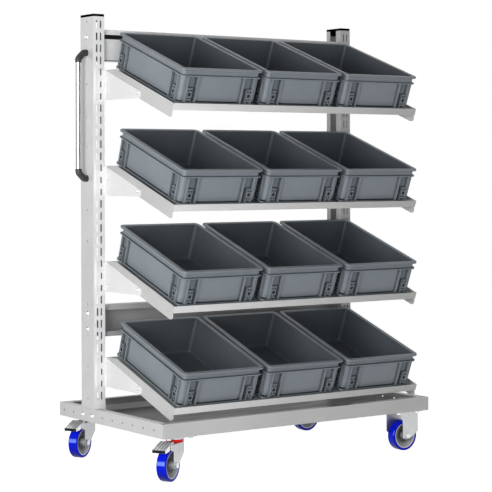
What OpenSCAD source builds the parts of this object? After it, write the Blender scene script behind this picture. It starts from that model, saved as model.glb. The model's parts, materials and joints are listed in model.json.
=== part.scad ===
// Mobile bin cart: a wheeled steel base with two slotted posts, which carry four tilted
// trays, each with three lift-out plastic bins, and a push handle on the left post.
// The cart stands on z = 0, its open front faces -Y and its handle is on the -X side.

/* [Base frame] */
// Depth of the base, front to back
base_w = 628; // [560:4:760]
// Height of the base's edge rails
base_h = 44; // [38:1:56]
// Thickness of the steel sheet of the base
base_t = 2; // [1.5:0.5:3]
// Width of the rails' top lip
top_lip = 25; // [16:1:32]
// Width of the rails' bottom lip
bottom_lip = 45; // [38:1:60]
// Height of the deck pan's upturned edge
pan_rise = 19.5; // [8:0.5:26]
// Distance between the small holes along each end rail
end_hole_pitch = 60.7; // [50:0.1:80]
// Height of that row of holes above the rail's underside
end_hole_up = 21.3; // [16:0.1:26]
// Diameter of the small holes in the end rails and in the posts' sides
small_hole_d = 6.5; // [4:0.5:8]

/* [Posts and beams] */
// Width of a post, along the cart
post_w = 41; // [38:1:46]
// Depth of a post, front to back
post_d = 80; // [76:1:90]
// Distance of the posts' middle behind the middle of the base
post_back = 134; // [110:1:170]
// Height of the posts' steel top above the floor
post_top = 1420.5; // [1380:0.5:1600]
// Thickness of the steel sheet of the posts and beams
post_t = 2; // [1.5:0.5:2.5]
// Width of the lip beside the post's opening, at the front
front_lip = 26; // [20:1:27]
// Width of the lip beside the post's opening, at the rear
rear_lip = 20; // [12:1:21]
// Height of the lowest slot's middle above the floor
slot_first = 217; // [200:1:230]
// Distance between slots along a post
slot_pitch = 38; // [36:0.5:40]
// Length of a slot
slot_h = 25; // [20:1:27]
// Width of a slot
slot_w = 5.5; // [5:0.5:7]
// Distance between the two columns of slots
slot_gap = 14; // [12:1:16]
// Height of the lowest hole in a post's side above the floor
hole_first = 206; // [195:1:220]
// Distance between the holes in a post's side
hole_pitch = 100; // [96:1:103]
// Height of a cross beam
beam_h = 100; // [90:1:110]
// Depth of a cross beam, front to back
beam_d = 50; // [46:1:60]
// Width of the lips along a beam's open front, of which the top beam has only the upper one
beam_lip = 16; // [10:1:24]
// Height of the long slot that is left open in the top beam's front
beam_slot = 14; // [10:1:20]
// Height of the lower beam's middle above the floor
lower_beam_z = 452; // [430:1:490]
// Distance between a beam's two bolts at each end
beam_bolt_gap = 50; // [40:1:60]
// Thickness of the caps on the posts
cap_t = 8; // [3:0.5:12]

/* [Shelves] */
// Number of slots from one shelf to the next
shelf_slots = 8; // [7:1:9]
// Slot, counted from the lowest as 0, that the lowest shelf's middle hook uses
shelf_first_slot = 2; // [2:1:3]
// Slope of the trays down towards the front, in degrees
tilt = 19.6; // [17:0.1:22]
// Length of a tray along its slope
tray_l = 415; // [412:1:417]
// Distance of the tray's front edge ahead of the bins' front edge
tray_front = 6; // [4:1:8]
// Thickness of the tray's sheet
tray_t = 1.5; // [1:0.5:2]
// Height of the trays' edges above their floor
tray_up = 13.5; // [8:0.5:16]
// Depth of the trays' edges below their floor
tray_down = 8.5; // [6:0.5:12]
// Thickness of the bracket plates
bracket_t = 2; // [1.5:0.5:3]
// Distance along the slope from the bins' front edge to the bolt of the bracket
bracket_reach = 198; // [160:1:240]
// Height of an arm under a tray
arm_h = 24; // [20:0.5:28]
// Thickness of an arm
arm_t = 3; // [2:0.5:4]

/* [Bins] */
// Length of a bin, down the slope
bin_l = 400; // [396:1:402]
// Width of a bin
bin_w = 300; // [290:1:304]
// Height of a bin
bin_h = 120; // [100:1:140]
// Gap between neighbouring bins
bin_gap = 12; // [8:1:20]
// Gap between the outer bins and the ends of a tray, which sets how far apart the posts stand
row_gap = 15.5; // [8:0.5:40]
// Least wall thickness of a bin
bin_wall = 2; // [1.5:0.5:3]
// Width of the plain panel on a bin's short sides
panel_w = 144; // [100:1:160]
// Width of the plain panel on a bin's long sides
panel_l = 248; // [200:1:260]

/* [Handle] */
// Outer diameter of the handle's tube
tube_d = 18; // [16:0.5:20]
// Distance of the tube's middle from the post's side
handle_out = 31; // [30:1:45]
// Number of side holes between the two ends of the handle
handle_holes = 4; // [3:1:5]
// Outer diameter of the handle's plastic ends
elbow_d = 21; // [20.5:0.5:23]

/* [Castors] */
// Height of a castor with its plate
castor_h = 132; // [130:1:140]
// Diameter of the wheels
wheel_d = 100; // [94:1:102]
// Width of the tyres
wheel_w = 32; // [26:1:36]
// Thickness of the tyres' rubber
tyre_t = 8; // [5:0.5:12]
// Diameter of the wheel axles
axle_d = 10; // [8:1:12]
// Distance of the castors' middle from the base's end
castor_in_x = 73; // [68:1:90]
// Distance of the castors' middle from the base's front or back
castor_in_y = 49; // [44:1:50]
// Length of a castor plate
plate_l = 105; // [98:1:110]
// Width of a castor plate
plate_w = 80; // [74:1:84]
// Thickness of a castor plate
plate_t = 3; // [2.5:0.5:5]
// Distance between a castor's bolts, along the plate
castor_bolt_x = 80; // [76:1:84]
// Distance between a castor's bolts, across the plate
castor_bolt_y = 60; // [54:1:62]
// Distance of a swivel castor's axle from its swivel axis
trail = 44; // [40:1:48]
// Direction in which the swivel castors trail, in degrees from +X
trail_turn = 210; // [190:1:220]
// Thickness of the forks' sheet
fork_t = 3; // [2:0.5:3.5]
// Diameter of the pin that a swivel castor turns on
kingpin_d = 12; // [10:1:14]

/* [Hidden] */
$fn = 48;

// Small lengths that several pieces share
eps = 1;            // how far a cutter runs past the face it cuts
run_gap = 0.05;     // radial gap of a shaft that turns in its bore
bolt_gap = 0.25;    // radial gap round a bolt's shank
free_gap = 0.3;     // gap between pieces that move past each other
shelf_n = 4;
bin_n = 3;          // bins on each tray

// A tray holds the row of bins, and the posts stand outside the brackets on its ends
bin_pitch = bin_w + bin_gap;
tray_w = bin_n * bin_w + (bin_n - 1) * bin_gap + 2 * row_gap;
post_gap = tray_w + 2 * bracket_t + post_w;

// Places of the main frame, measured from the middle of the base
post_out = post_gap / 2 + post_w / 2;
post_in = post_gap / 2 - post_w / 2;
post_front = post_back - post_d / 2;
post_rear = post_back + post_d / 2;
base_l = 2 * (post_out + base_t);
base_top = castor_h + base_h;
lip_top_z = castor_h + base_t;

// Button-head bolts and their nuts, as M8 and as M6
m8 = 8;
m6 = 6;
head_of = [[m8, 14, 4.5], [m6, 10.5, 3.3]];
function head_d(m) = lookup(m, [for (h = head_of) [h[0], h[1]]]);
function head_h(m) = lookup(m, [for (h = head_of) [h[0], h[2]]]);
function nut_h(m) = 0.8 * m;
function nut_d(m) = 1.85 * m;

// Holes in a post's side: the last but one holds the upper end of the handle
post_end_gap = 12;
hole_n = floor((post_top - hole_first - post_end_gap) / hole_pitch);
handle_top_z = hole_first + (hole_n - 1) * hole_pitch;
handle_low_z = handle_top_z - handle_holes * hole_pitch;
top_beam_z = handle_top_z + beam_bolt_gap / 2;
slot_n = 1 + floor((post_top - slot_first - slot_h / 2 - post_end_gap) / slot_pitch);

// Thickness of the bracket at each end of a beam
beam_foot_t = 3;

// Handle: each elbow has two bends of 45 degrees, the first one this far from the post
elbow_foot = 12;
elbow_leg = 12;      // from the second bend to the elbow's end
bend_r = 12;
bend_cut = bend_r * tan(45 / 2);
elbow_slant = handle_out - elbow_foot;
socket_depth = 14;
screw_depth = 14;

// Bolts at the foot of each post, set a little ahead of the post's middle
foot_bolt_y = post_back - 1.5;
foot_bolt_z = castor_h + end_hole_up;
end_hole_margin = 28;

// Tray frame: s runs up the slope from the bins' front edge, n is square to the tray's floor
tray_gap_y = 1.5;
tray_low_s = tray_l - tray_front;
tray_y0 = post_front - bracket_t - tray_gap_y - tray_low_s * cos(tilt) - tray_down * sin(tilt);
bracket_rise = 47;
tray_drop = (post_front - tray_y0) * tan(tilt) - tray_down / cos(tilt) - bracket_rise;
function hook_z(k) = slot_first + (shelf_first_slot + (shelf_n - k) * shelf_slots) * slot_pitch;
function tray_z(k) = hook_z(k) - tray_drop;
arm_mid = -tray_down - arm_h / 2;
bolt_n = arm_mid + 3;
bolt_y = tray_y0 + bracket_reach * cos(tilt) - bolt_n * sin(tilt);
function bolt_z(k) = tray_z(k) + bracket_reach * sin(tilt) + bolt_n * cos(tilt);
bracket_end = 17;
bracket_corner_r = 8;
function bracket_low(k) = min(hook_z(k) - slot_pitch - slot_h / 2, bolt_z(k) - bracket_end);
flange_w = slot_gap / 2 + post_w / 2 + 4.5 + slot_w / 2;

// Bin: insets of its outer forms from its rim, at the levels named
rim_r = 10;
rim_lip_h = 6;
rim_band_in = 9;
rim_band_low = 21;
rim_lower_in = 2;
rim_lower_h = 4;
body_in_top = 10;
body_in_low = 13;
foot_lip_z = 9;
foot_lip_h = 4.5;
foot_lip_in = 6;
foot_in = 18;
cavity_in_top = 14;
cavity_in_low = foot_in + bin_wall + 1;
bin_floor = 3;
column_rib = 4;
column_step = 10;
channel_w = 14;
pad_w = 20;
pad_h = 40;
pad_in = 2;
face_depth = 24;

// Castors
plate_z = castor_h - plate_t;
fork_drop = 18;      // height of the swivel head, from the top of the plate to the fork
fork_top = castor_h - fork_drop;
fork_half = 26;
hub_half = fork_half - fork_t - free_gap;
race_d = 58;
race_h = 6;
ring_d = 54;
ring_bore = 40;
ring_gap = 0.6;
pivot_t = trail + 14;
pivot_z = fork_top - 6;
pivot_d = 6;
pedal_half = 22;
pedal_t = 2.5;
pedal_l = 54;
pedal_back_t = trail + 7;
pedal_tip_t = pedal_back_t + pedal_l;
pedal_slope = 19.7;
pedal_top_z = plate_z - 7.5;
pedal_tip_h = 9;
castor_bolt_d = 8;
castor_head_h = 5.3;
collar_d = 10.5;
axle_z = wheel_d / 2;
leg_front = 10;      // reach of a fork's leg past the axle, away from the fork's middle
leg_back = 47;       // its reach to the other side, on a fixed castor
leg_root = 11;       // reach of a swivel fork's legs behind the swivel axis
leg_low = axle_z - leg_front;
leg_waist = 23;      // where a swivel fork's leg is narrow, from the axle
leg_shoulder = 32;   // and where it's full width, above the axle
kingpin_head_d = 20;
kingpin_head_h = 4;
bead_w = 14;         // rib pressed into a leg's outer face
bead_h = 1.2;
crown_half = 32;     // half length of the fixed forks' top

// Shift that puts the origin at the middle of the whole cart's box, on the floor
x_low = -post_out - handle_out - elbow_d / 2;
x_high = base_l / 2 + head_h(m8);
y_low = tray_y0 - bin_h * sin(tilt);
y_high = base_w / 2;
mid_x = (x_low + x_high) / 2;
mid_y = (y_low + y_high) / 2;

module placed() {
  translate([-mid_x, -mid_y, 0]) children();
}

// A box given by its two corners
module box(a, b) {
  translate(a) cube(b - a);
}

// The same piece on both sides of the cart
module both_ends() {
  children();
  mirror([1, 0, 0]) children();
}

// A slot that stands upright and is cut along Y from y0 to y1
module slot_cut(x, z, w, h, y0, y1) {
  box([x - w / 2, y0, z - (h - w) / 2], [x + w / 2, y1, z + (h - w) / 2]);
  for (dz = [-1, 1] * (h - w) / 2)
    translate([x, y0, z + dz]) rotate([-90, 0, 0]) cylinder(h = y1 - y0, d = w);
}

// A hole along X through the part of the left side between x0 and x1
module side_hole(y, z, d, x0, x1) {
  translate([x0, y, z]) rotate([0, 90, 0]) cylinder(h = x1 - x0, d = d);
}

// A button-head bolt with its nut: the head stands above z = 0, the nut is below the grip
module button_bolt(m, grip, round_nut = false) {
  difference() {
    union() {
      cylinder(h = head_h(m), d1 = head_d(m), d2 = head_d(m) * 0.62);
      translate([0, 0, -grip - nut_h(m) - 2]) cylinder(h = grip + nut_h(m) + 2, d = m);
    }
    translate([0, 0, head_h(m) * 0.45]) cylinder(h = head_h(m), d = m * 0.7, $fn = 6);
  }
  translate([0, 0, -grip - nut_h(m)])
    if (round_nut) cylinder(h = nut_h(m), d = 1.4 * m);
    else cylinder(h = nut_h(m), d = nut_d(m), $fn = 6);
}

// The four castor places, by their signs along X and Y
module at_castor(sx, sy) {
  translate([sx * (base_l / 2 - castor_in_x), sy * (base_w / 2 - castor_in_y), 0]) children();
}

module castor_bolt_places() {
  for (sx = [-1, 1], sy = [-1, 1])
    at_castor(sx, sy)
      for (dx = [-1, 1] * castor_bolt_x / 2, dy = [-1, 1] * castor_bolt_y / 2)
        translate([dx, dy, 0]) children();
}

module collar_bores() {
  castor_bolt_places()
    translate([0, 0, castor_h - eps]) cylinder(h = base_t + 2 * eps, d = collar_d + 2 * run_gap);
}

// Base frame
module front_rail() {
  x = base_l / 2;
  y = -base_w / 2;
  difference() {
    union() {
      box([-x, y, castor_h], [x, y + base_t, base_top]);
      box([-x + base_t, y, base_top - base_t], [x - base_t, y + top_lip, base_top]);
      box([-x + base_t, y, castor_h], [x - base_t, y + bottom_lip, lip_top_z]);
    }
    collar_bores();
  }
}

module base_front_rail() {
  color("silver") placed() front_rail();
}

module base_back_rail() {
  color("silver") placed() mirror([0, 1, 0]) front_rail();
}

module end_rail() {
  x = -base_l / 2;
  y = base_w / 2;
  difference() {
    union() {
      box([x, -y + base_t, castor_h], [x + base_t, y - base_t, base_top]);
      box([x, -y + top_lip, base_top - base_t], [x + top_lip, y - top_lip, base_top]);
      box([x, -y + bottom_lip, castor_h], [x + bottom_lip, y - bottom_lip, lip_top_z]);
    }
    // the post stands inside the web, so the top lip is cut away round it
    box([x + base_t, post_front - free_gap, base_top - base_t - eps],
        [x + top_lip + eps, post_rear + free_gap, base_top + eps]);
    for (i = [-12:12]) {
      y_hole = foot_bolt_y + (i + 0.5) * end_hole_pitch;
      d_hole = i == 0 || i == -1 ? m8 + 2 * bolt_gap : small_hole_d;
      if (abs(y_hole) < y - end_hole_margin)
        side_hole(y_hole, foot_bolt_z, d_hole, x - eps, x + base_t + eps);
    }
    collar_bores();
  }
}

module base_left_end() {
  color("silver") placed() end_rail();
}

module base_right_end() {
  color("silver") placed() mirror([1, 0, 0]) end_rail();
}

module castor_cross_plates() {
  x0 = -base_l / 2 + bottom_lip;
  x1 = -base_l / 2 + castor_in_x + plate_l / 2;
  y = base_w / 2 - bottom_lip;
  color("silver") placed() difference() {
    both_ends() box([x0, -y, castor_h], [x1, y, lip_top_z]);
    collar_bores();
  }
}

// Deck pan: its plan is the space inside the lips, less a notch round each post
module pan_plan(inset) {
  x = base_l / 2 - top_lip - inset;
  y = base_w / 2 - top_lip - inset;
  difference() {
    translate([-x, -y]) square([2 * x, 2 * y]);
    for (side = [-1, 1])
      translate([side * (post_gap / 2), post_back])
        square([post_w + 2 * (inset + free_gap), post_d + 2 * (inset + free_gap)], center = true);
  }
}

module deck_pan() {
  color("gray") placed() translate([0, 0, lip_top_z]) difference() {
    linear_extrude(base_t + pan_rise) pan_plan(0);
    translate([0, 0, base_t]) linear_extrude(pan_rise + eps) pan_plan(base_t);
  }
}

// Posts: a lipped channel, open towards the middle of the cart
module post_profile() {
  translate([-post_out, post_front]) square([post_t, post_d]);
  translate([-post_out, post_front]) square([post_w, post_t]);
  translate([-post_out, post_rear - post_t]) square([post_w, post_t]);
  translate([-post_in - post_t, post_front]) square([post_t, front_lip]);
  translate([-post_in - post_t, post_rear - rear_lip]) square([post_t, rear_lip]);
}

module post() {
  x0 = -post_out - eps;
  x1 = -post_out + post_t + eps;
  bore = m8 + 2 * bolt_gap;
  difference() {
    translate([0, 0, lip_top_z]) linear_extrude(post_top - lip_top_z) post_profile();
    for (i = [0:slot_n - 1], side = [-1, 1])
      slot_cut(-post_gap / 2 + side * slot_gap / 2, slot_first + i * slot_pitch, slot_w, slot_h,
               post_front - eps, post_front + post_t + eps);
    for (i = [0:hole_n]) {
      at_handle = i == hole_n - 1 || i == hole_n - 1 - handle_holes;
      side_hole(post_back, hole_first + i * hole_pitch, at_handle ? bore : small_hole_d, x0, x1);
    }
    side_hole(post_back, top_beam_z + beam_bolt_gap / 2, bore, x0, x1);
    for (dz = [-1, 1] * beam_bolt_gap / 2) side_hole(post_back, lower_beam_z + dz, bore, x0, x1);
    for (dy = [-1, 1] * end_hole_pitch / 2) side_hole(foot_bolt_y + dy, foot_bolt_z, bore, x0, x1);
  }
}

module left_post() {
  color("gainsboro") placed() post();
}

module right_post() {
  color("gainsboro") placed() mirror([1, 0, 0]) post();
}

module post_caps() {
  plug = 14;
  wall = 2;
  gap = 0.2;
  in = post_t + gap;
  color("black") placed() both_ends() {
    box([-post_out, post_front, post_top], [-post_in, post_rear, post_top + cap_t]);
    difference() {
      box([-post_out + in, post_front + in, post_top - plug], [-post_in - in, post_rear - in, post_top]);
      box([-post_out + in + wall, post_front + in + wall, post_top - plug - eps],
          [-post_in - in - wall, post_rear - in - wall, post_top - wall]);
    }
  }
}

// Cross beams: a channel whose two front lips leave a gap between them, with a bracket into each post
module beam(z, low_lip) {
  opening_front = post_front + front_lip + free_gap;
  opening_rear = post_rear - rear_lip - free_gap;
  bracket_half = 40;
  bore = m8 + 2 * bolt_gap;
  y0 = post_back - beam_d / 2;
  y1 = post_back + beam_d / 2;
  h = beam_h / 2;
  x_web = -post_out + post_t;
  translate([0, 0, z]) {
    box([-post_in, y1 - post_t, -h], [post_in, y1, h]);
    for (s = [0, 1]) mirror([0, 0, s]) box([-post_in, y0, h - post_t], [post_in, y1, h]);
    box([-post_in, y0, h - beam_lip], [post_in, y0 + post_t, h]);
    box([-post_in, y0, -h], [post_in, y0 + post_t, low_lip - h]);
    both_ends() {
      box([-post_in, y0, -h], [-post_in + post_t, y1, h]);
      difference() {
        box([x_web, opening_front, -bracket_half], [-post_in, opening_rear, bracket_half]);
        box([x_web + beam_foot_t, opening_front + beam_foot_t, -bracket_half - eps],
            [-post_in + eps, opening_rear - beam_foot_t, bracket_half + eps]);
        for (dz = [-1, 1] * beam_bolt_gap / 2)
          side_hole(post_back, dz, bore, x_web - eps, x_web + beam_foot_t + eps);
      }
    }
  }
}

module top_beam() {
  color("gainsboro") placed() beam(top_beam_z, beam_h - beam_lip - beam_slot);
}

module lower_beam() {
  color("gainsboro") placed() beam(lower_beam_z, beam_lip);
}

module frame_bolts() {
  beam_grip = post_t + beam_foot_t;
  foot_grip = base_t + post_t;
  color("silver") placed() {
    both_ends() {
      for (z = [lower_beam_z - beam_bolt_gap / 2, lower_beam_z + beam_bolt_gap / 2,
                top_beam_z + beam_bolt_gap / 2])
        translate([-post_out, post_back, z]) rotate([0, -90, 0]) button_bolt(m8, beam_grip);
      for (dy = [-1, 1] * end_hole_pitch / 2)
        translate([-base_l / 2, foot_bolt_y + dy, foot_bolt_z]) rotate([0, -90, 0])
          button_bolt(m8, foot_grip, round_nut = true);
    }
    // on the left the handle's upper screw takes this bolt's place
    mirror([1, 0, 0]) translate([-post_out, post_back, handle_top_z]) rotate([0, -90, 0])
      button_bolt(m8, beam_grip);
  }
}

// Handle: a tube held between two plastic elbows
module elbow() {
  // the foot is at the origin on the post's side, the tube's socket points down
  low_end = -elbow_slant - elbow_leg;
  difference() {
    union() {
      rotate([0, -90, 0]) cylinder(h = elbow_foot - bend_cut, d = elbow_d);
      translate([bend_cut - elbow_foot, 0, -bend_r]) rotate([90, 0, 0]) rotate([0, 0, 90])
        rotate_extrude(angle = 45) translate([bend_r, 0]) circle(d = elbow_d);
      translate([-elbow_foot, 0, 0]) rotate([0, -135, 0]) translate([0, 0, bend_cut])
        cylinder(h = elbow_slant * sqrt(2) - 2 * bend_cut, d = elbow_d);
      translate([bend_r - handle_out, 0, -elbow_slant - bend_cut]) rotate([90, 0, 0]) rotate([0, 0, 135])
        rotate_extrude(angle = 45) translate([bend_r, 0]) circle(d = elbow_d);
      translate([-handle_out, 0, low_end]) cylinder(h = elbow_leg - bend_cut, d = elbow_d);
    }
    translate([-handle_out, 0, low_end - eps])
      cylinder(h = socket_depth + eps, d = tube_d + 2 * run_gap);
    translate([eps, 0, 0]) rotate([0, -90, 0]) cylinder(h = screw_depth + eps, d = m8 + 2 * run_gap);
  }
}

module handle_ends() {
  color("black") placed() {
    translate([-post_out, post_back, handle_top_z]) elbow();
    translate([-post_out, post_back, handle_low_z]) mirror([0, 0, 1]) elbow();
  }
}

module handle_tube() {
  wall = 1.5;
  inset = elbow_slant + elbow_leg - socket_depth;
  color("silver") placed()
    translate([-post_out - handle_out, post_back, handle_low_z + inset]) difference() {
      cylinder(h = handle_top_z - handle_low_z - 2 * inset, d = tube_d);
      translate([0, 0, -eps])
        cylinder(h = handle_top_z - handle_low_z - 2 * inset + 2 * eps, d = tube_d - 2 * wall);
    }
}

module handle_screw(grip) {
  // the head is inside the post and the shank runs out into the elbow
  rotate([0, 90, 0]) cylinder(h = head_h(m8), d = head_d(m8));
  translate([-grip - screw_depth + eps, 0, 0]) rotate([0, 90, 0])
    cylinder(h = grip + screw_depth - eps, d = m8);
}

module handle_screws() {
  grip = post_t + beam_foot_t;
  color("silver") placed() {
    translate([-post_out + grip, post_back, handle_top_z]) handle_screw(grip);
    translate([-post_out + post_t, post_back, handle_low_z]) handle_screw(post_t);
  }
}

// Shelves
module on_tray(k) {
  translate([0, tray_y0, tray_z(k)]) rotate([tilt, 0, 0]) children();
}

// A point of the tray's side view, as y and z from the tray's origin
function tray_at(s, n) = [s * cos(tilt) - n * sin(tilt), s * sin(tilt) + n * cos(tilt)];

// A strip along X with the given side view, from x0 to x1
module tray_strip(x0, x1, side_view) {
  translate([x0, 0, 0]) rotate([90, 0, 90]) linear_extrude(x1 - x0) polygon(side_view);
}

// Tray: a sloping floor that ends in a level ledge, with edges at the front and the sides. The side
// edges are cut off level with the ledge.
module tray(k) {
  x = tray_w / 2;
  t = tray_t;
  s0 = -tray_front;
  rear = tray_at(tray_low_s, -tray_down);
  ledge_z = rear[1];
  cut = tray_at(tray_low_s - (tray_up + tray_down) / tan(tilt), tray_up);
  side_edge = [tray_at(s0, -tray_down), rear, [cut[0], ledge_z], tray_at(s0, tray_up)];
  front_edge = [tray_at(s0, -tray_down), tray_at(s0 + t, -tray_down), tray_at(s0 + t, tray_up),
                tray_at(s0, tray_up)];
  floor_view = [tray_at(s0 + t / 2, 0), [ledge_z / tan(tilt), ledge_z], rear, [rear[0], ledge_z - t],
                [(ledge_z - t + t / cos(tilt)) / tan(tilt), ledge_z - t], tray_at(s0 + t / 2, -t)];
  color("lightgray") placed() translate([0, tray_y0, tray_z(k)]) {
    tray_strip(-x + t / 2, x - t / 2, floor_view);
    tray_strip(-x, x, front_edge);
    tray_strip(-x, -x + t, side_edge);
    tray_strip(x - t, x, side_edge);
  }
}

// Bracket: a side plate under the tray's edge and a flange hooked into the post's slots
module brackets(k) {
  z_top = hook_z(k) + bracket_rise;
  z_low = bracket_low(k);
  y_end = bolt_y - bracket_end;
  z_end = z_top - (post_front - y_end) * tan(tilt);
  r = bracket_corner_r;
  x_outer = -post_gap / 2 - slot_gap / 2;
  x_inner = -post_gap / 2 + slot_gap / 2;
  hole_rise = 0.75 * slot_pitch;
  plate_hole_z = [-hole_rise, 0, hole_rise];
  plate_hole_y = [12, 22];
  plate_hole_d = 4;
  window_h = 20;
  hook_w = slot_w - 1;
  hook_up = 15;
  hook_down = 6;
  color("whitesmoke") placed() both_ends() {
    difference() {
      translate([-post_in, 0, 0]) rotate([90, 0, 90]) linear_extrude(bracket_t) {
        polygon([[post_front, z_low], [post_front, z_top], [y_end, z_end], [y_end, z_low + r],
                 [y_end + r, z_low + r], [y_end + r, z_low]]);
        translate([y_end + r, z_low + r]) circle(r = r);
      }
      side_hole(bolt_y, bolt_z(k), m6 + 2 * bolt_gap, -post_in - eps, -post_in + bracket_t + eps);
      for (dz = plate_hole_z, dy = plate_hole_y)
        side_hole(post_front - dy, hook_z(k) + dz, plate_hole_d, -post_in - eps, -post_in + bracket_t + eps);
    }
    difference() {
      box([-post_in + bracket_t - flange_w, post_front - bracket_t, z_low],
          [-post_in + bracket_t, post_front, z_top]);
      for (i = [-1:1])
        slot_cut(x_inner, hook_z(k) + i * slot_pitch, slot_w + 1, window_h,
                 post_front - bracket_t - eps, post_front + eps);
    }
    for (i = [-1:1]) {
      z_slot = hook_z(k) + i * slot_pitch - slot_h / 2 + slot_w / 2;
      y_in = post_front + post_t + free_gap;
      x0 = x_outer - hook_w / 2;
      x1 = x_outer + hook_w / 2;
      box([x0, post_front - eps, z_slot], [x1, y_in + bracket_t, z_slot + hook_up]);
      box([x0, y_in, z_slot - hook_down], [x1, y_in + bracket_t, z_slot]);
    }
  }
}

// Arm: a strip under each side of the tray, with a rounded front end
module arms(k) {
  x0 = -tray_w / 2;
  s_tip = 6;
  s_end = tray_l - tray_front - 10;
  small = 4;
  small_s = 32;
  color("lightgray") placed() on_tray(k) both_ends() difference() {
    union() {
      box([x0, s_tip, arm_mid - arm_h / 2], [x0 + arm_t, s_end, arm_mid + arm_h / 2]);
      translate([x0, s_tip, arm_mid]) rotate([0, 90, 0]) cylinder(h = arm_t, d = arm_h);
    }
    side_hole(bracket_reach, bolt_n, m6 + 2 * bolt_gap, x0 - eps, x0 + arm_t + eps);
    side_hole(small_s, arm_mid + 4, small, x0 - eps, x0 + arm_t + eps);
  }
}

module shelf_bolts() {
  color("silver") placed()
    for (k = [1:shelf_n])
      both_ends()
        translate([-post_in, bolt_y, bolt_z(k)]) rotate([0, -90, 0]) button_bolt(m6, bracket_t + arm_t);
}

// Bins
module rim_slab(z0, z1, inset) {
  w = bin_w - 2 * inset;
  l = bin_l - 2 * inset;
  r = max(rim_r - inset, 2);
  translate([-w / 2, inset, z0]) {
    box([r, 0, 0], [w - r, l, z1 - z0]);
    box([0, r, 0], [w, l - r, z1 - z0]);
    for (x = [r, w - r], y = [r, l - r]) translate([x, y, 0]) cylinder(h = z1 - z0, r = r);
  }
}

// A block whose four sides slope from one inset at the bottom to another at the top
module sloped_block(z0, z1, in0, in1) {
  w = bin_w / 2;
  intersection() {
    translate([0, bin_l, 0]) rotate([90, 0, 0]) linear_extrude(bin_l)
      polygon([[in0 - w, z0], [w - in0, z0], [w - in1, z1], [in1 - w, z1]]);
    translate([-w, 0, 0]) rotate([90, 0, 90]) linear_extrude(bin_w)
      polygon([[in0, z0], [bin_l - in0, z0], [bin_l - in1, z1], [in1, z1]]);
  }
}

// The standing parts of one pair of faces: panel, ribs and corner posts, as boxes in plan
module face_blocks(half, panel, depth, z0, z1) {
  channel_end = panel / 2 + channel_w;
  pad_end = channel_end + pad_w;
  box([-panel / 2, 0, z0], [panel / 2, depth, z1]);
  for (side = [0, 1]) mirror([side, 0, 0]) {
    for (i = [0, 1])
      box([pad_end + i * column_step, 0, z0], [pad_end + i * column_step + column_rib, depth, z1]);
    box([pad_end + 2 * column_step, 0, z0], [half, depth, z1]);
    box([channel_end, pad_in + body_in_low, z0], [pad_end, depth, foot_lip_z + pad_h]);
  }
}

module bin_body() {
  z0 = foot_lip_z;
  z1 = bin_h - rim_band_low;
  skin_top = cavity_in_top - bin_wall + 1.4;
  skin_low = cavity_in_low - bin_wall - 0.8;
  difference() {
    union() {
      rim_slab(bin_h - rim_lip_h, bin_h, 0);
      rim_slab(bin_h - rim_band_low, bin_h - rim_lip_h, rim_band_in);
      rim_slab(bin_h - rim_band_low - rim_lower_h, bin_h - rim_band_low, rim_lower_in);
      sloped_block(z0, z1, skin_low, skin_top);
      intersection() {
        sloped_block(z0, z1, body_in_low, body_in_top);
        union() {
          face_blocks(bin_w / 2, panel_w, face_depth, z0, z1);
          translate([0, bin_l, 0]) mirror([0, 1, 0]) face_blocks(bin_w / 2, panel_w, face_depth, z0, z1);
          translate([-bin_w / 2, bin_l / 2, 0]) rotate([0, 0, -90])
            face_blocks(bin_l / 2, panel_l, face_depth, z0, z1);
          translate([bin_w / 2, bin_l / 2, 0]) rotate([0, 0, 90])
            face_blocks(bin_l / 2, panel_l, face_depth, z0, z1);
        }
      }
      rim_slab(foot_lip_z, foot_lip_z + foot_lip_h, foot_lip_in);
      rim_slab(0, foot_lip_z, foot_in);
    }
    sloped_block(bin_floor, bin_h + eps, cavity_in_low, cavity_in_top);
  }
}

module bin(k, place) {
  color("slategray") placed() on_tray(k) translate([place * bin_pitch, 0, 0]) bin_body();
}

// Castors
module castor_plates() {
  color("silver") placed() {
    difference() {
      for (sx = [-1, 1], sy = [-1, 1])
        at_castor(sx, sy)
          box([-plate_l / 2, -plate_w / 2, plate_z], [plate_l / 2, plate_w / 2, castor_h]);
      castor_bolt_places() translate([0, 0, plate_z - eps])
        cylinder(h = plate_t + 2 * eps, d = castor_bolt_d + 2 * bolt_gap);
    }
    // swivel head: the upper race and the pin that the fork turns on
    for (sy = [-1, 1]) at_castor(-1, sy) {
      translate([0, 0, plate_z - race_h]) cylinder(h = race_h, d = race_d);
      head_z = fork_top - fork_t - free_gap;
      translate([0, 0, head_z]) cylinder(h = plate_z - head_z, d = kingpin_d);
      translate([0, 0, head_z - kingpin_head_h]) cylinder(h = kingpin_head_h, d = kingpin_head_d);
    }
  }
}

// Castor bolts: hex heads under the plates, each in a collar pressed flush into the sheet above
module castor_bolts() {
  head_z = plate_z - castor_head_h;
  color("silver") placed() castor_bolt_places() {
    translate([0, 0, head_z]) cylinder(h = lip_top_z - head_z, d = castor_bolt_d);
    translate([0, 0, head_z]) cylinder(h = castor_head_h, d = nut_d(castor_bolt_d), $fn = 6);
    difference() {
      translate([0, 0, castor_h]) cylinder(h = base_t, d = collar_d);
      translate([0, 0, castor_h - eps]) cylinder(h = base_t + 2 * eps, d = castor_bolt_d + 2 * run_gap);
    }
  }
}

module swivel_ring(sy) {
  color("red") placed() at_castor(-1, sy) translate([0, 0, fork_top + ring_gap]) difference() {
    cylinder(h = plate_z - race_h - fork_top - ring_gap, d = ring_d);
    translate([0, 0, -eps]) cylinder(h = plate_z, d = ring_bore);
  }
}

// In the castor's frame the wheel lies towards +X, with its axle along Y
module at_swivel(sy) {
  at_castor(-1, sy) rotate([0, 0, trail_turn]) children();
}

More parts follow.
